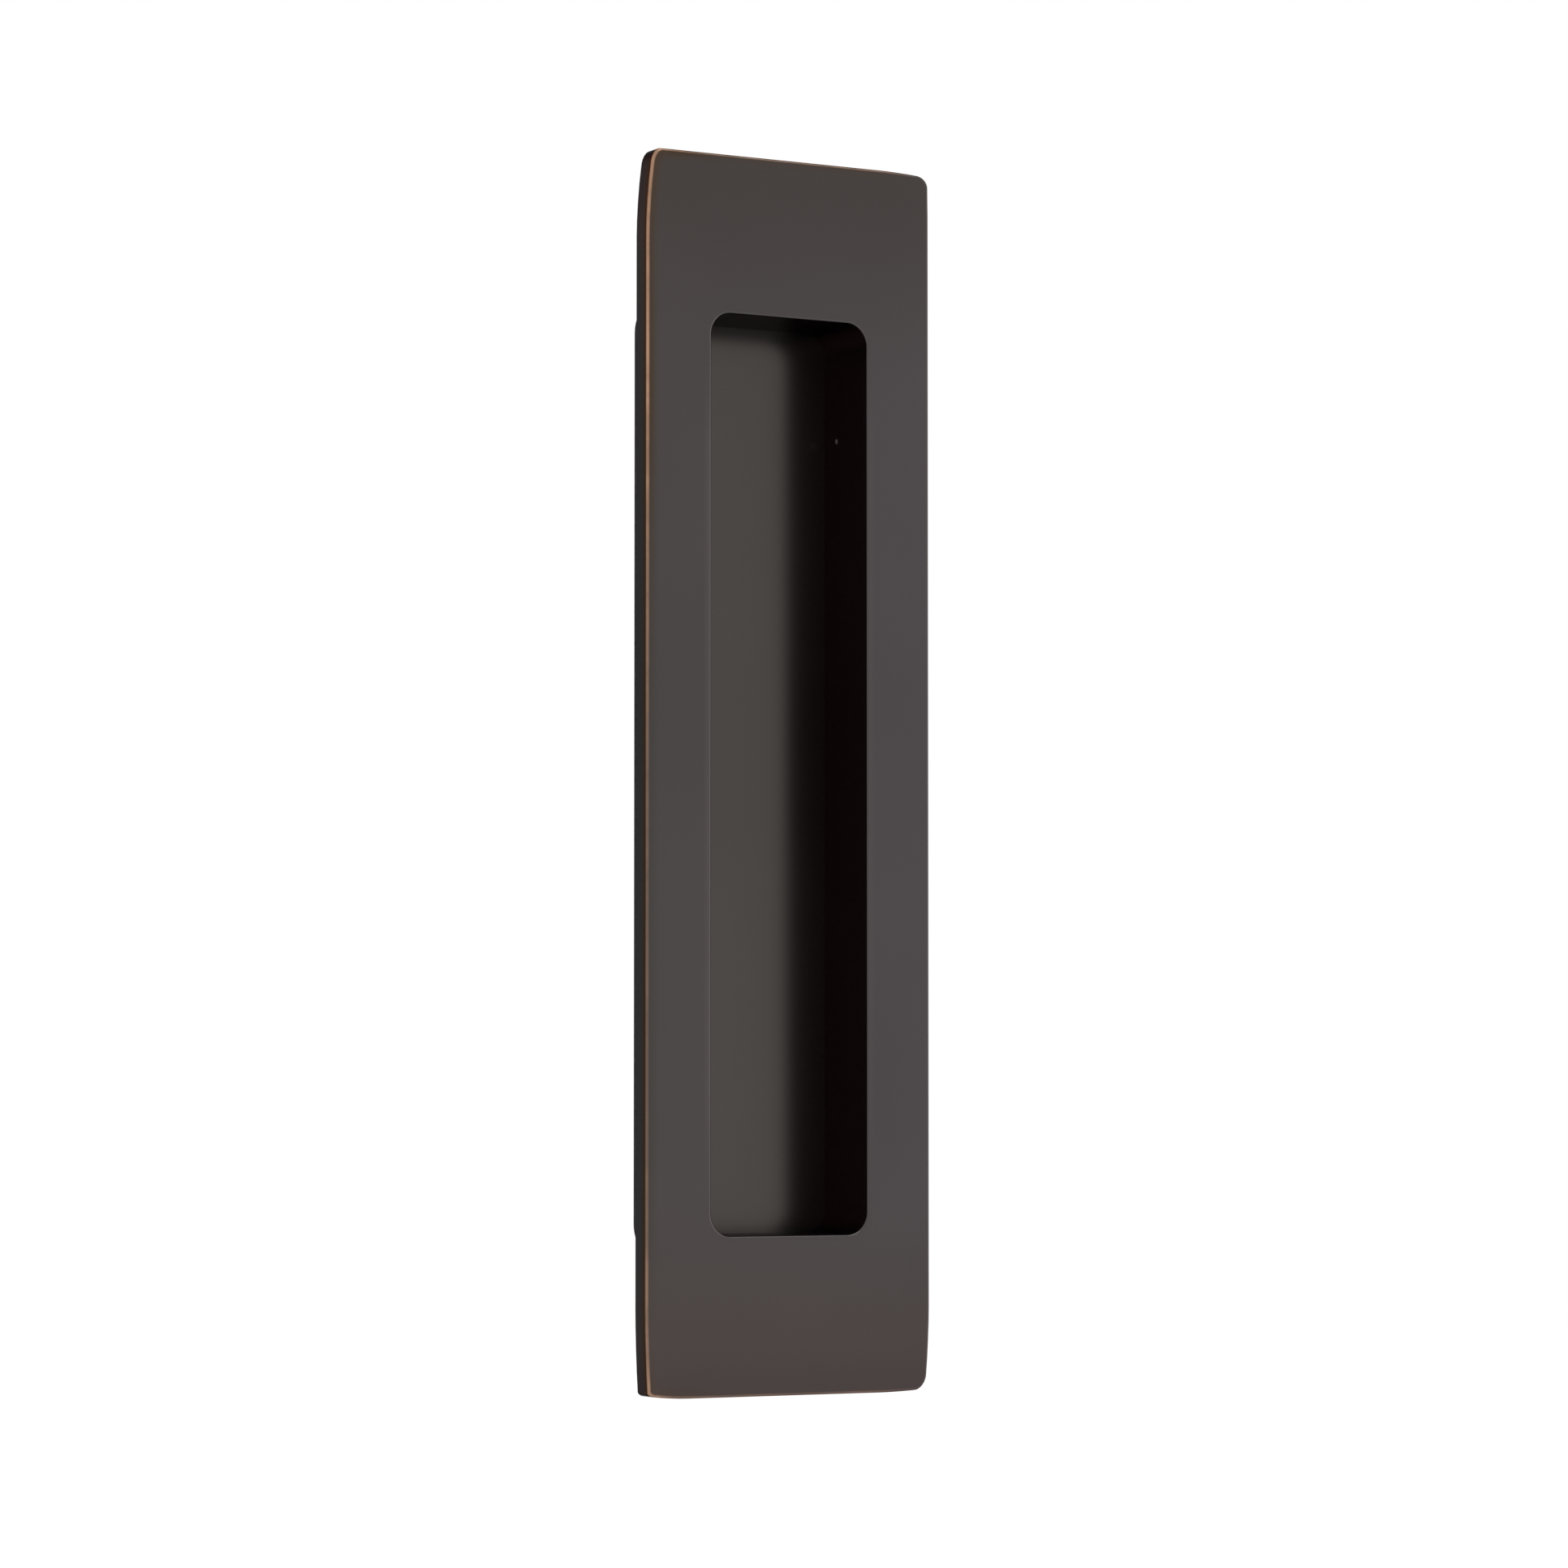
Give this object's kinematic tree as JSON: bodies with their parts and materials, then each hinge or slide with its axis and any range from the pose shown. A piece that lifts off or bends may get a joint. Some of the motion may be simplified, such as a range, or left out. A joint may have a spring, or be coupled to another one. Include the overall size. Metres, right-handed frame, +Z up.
{
  "type": "pocket door pull",
  "caption": "Rectangular flush pull for a sliding pocket door: thick face plate with a long recessed finger cup behind it and tapped posts at the back for hidden screws.",
  "frame": {"origin": "centre of the back of the face plate, in the plane where the plate seats on the door", "axes": "+Z up along the pull's length, +Y into the door towards the back of the cup and the ends of the posts, front face towards -Y, +X to the right seen from the front"},
  "size_m": [0.0476, 0.0162, 0.181],
  "materials": {
    "bronze_finish": "oil-rubbed bronze patina on cast brass, satin, copper showing where the edges are rubbed",
    "bare_brass": "bare turned brass"
  },
  "bodies": {
    "root": {"pull_body": "bronze_finish", "fixing_post_upper": "bare_brass", "fixing_post_lower": "bare_brass"}
  },
  "joints": []
}
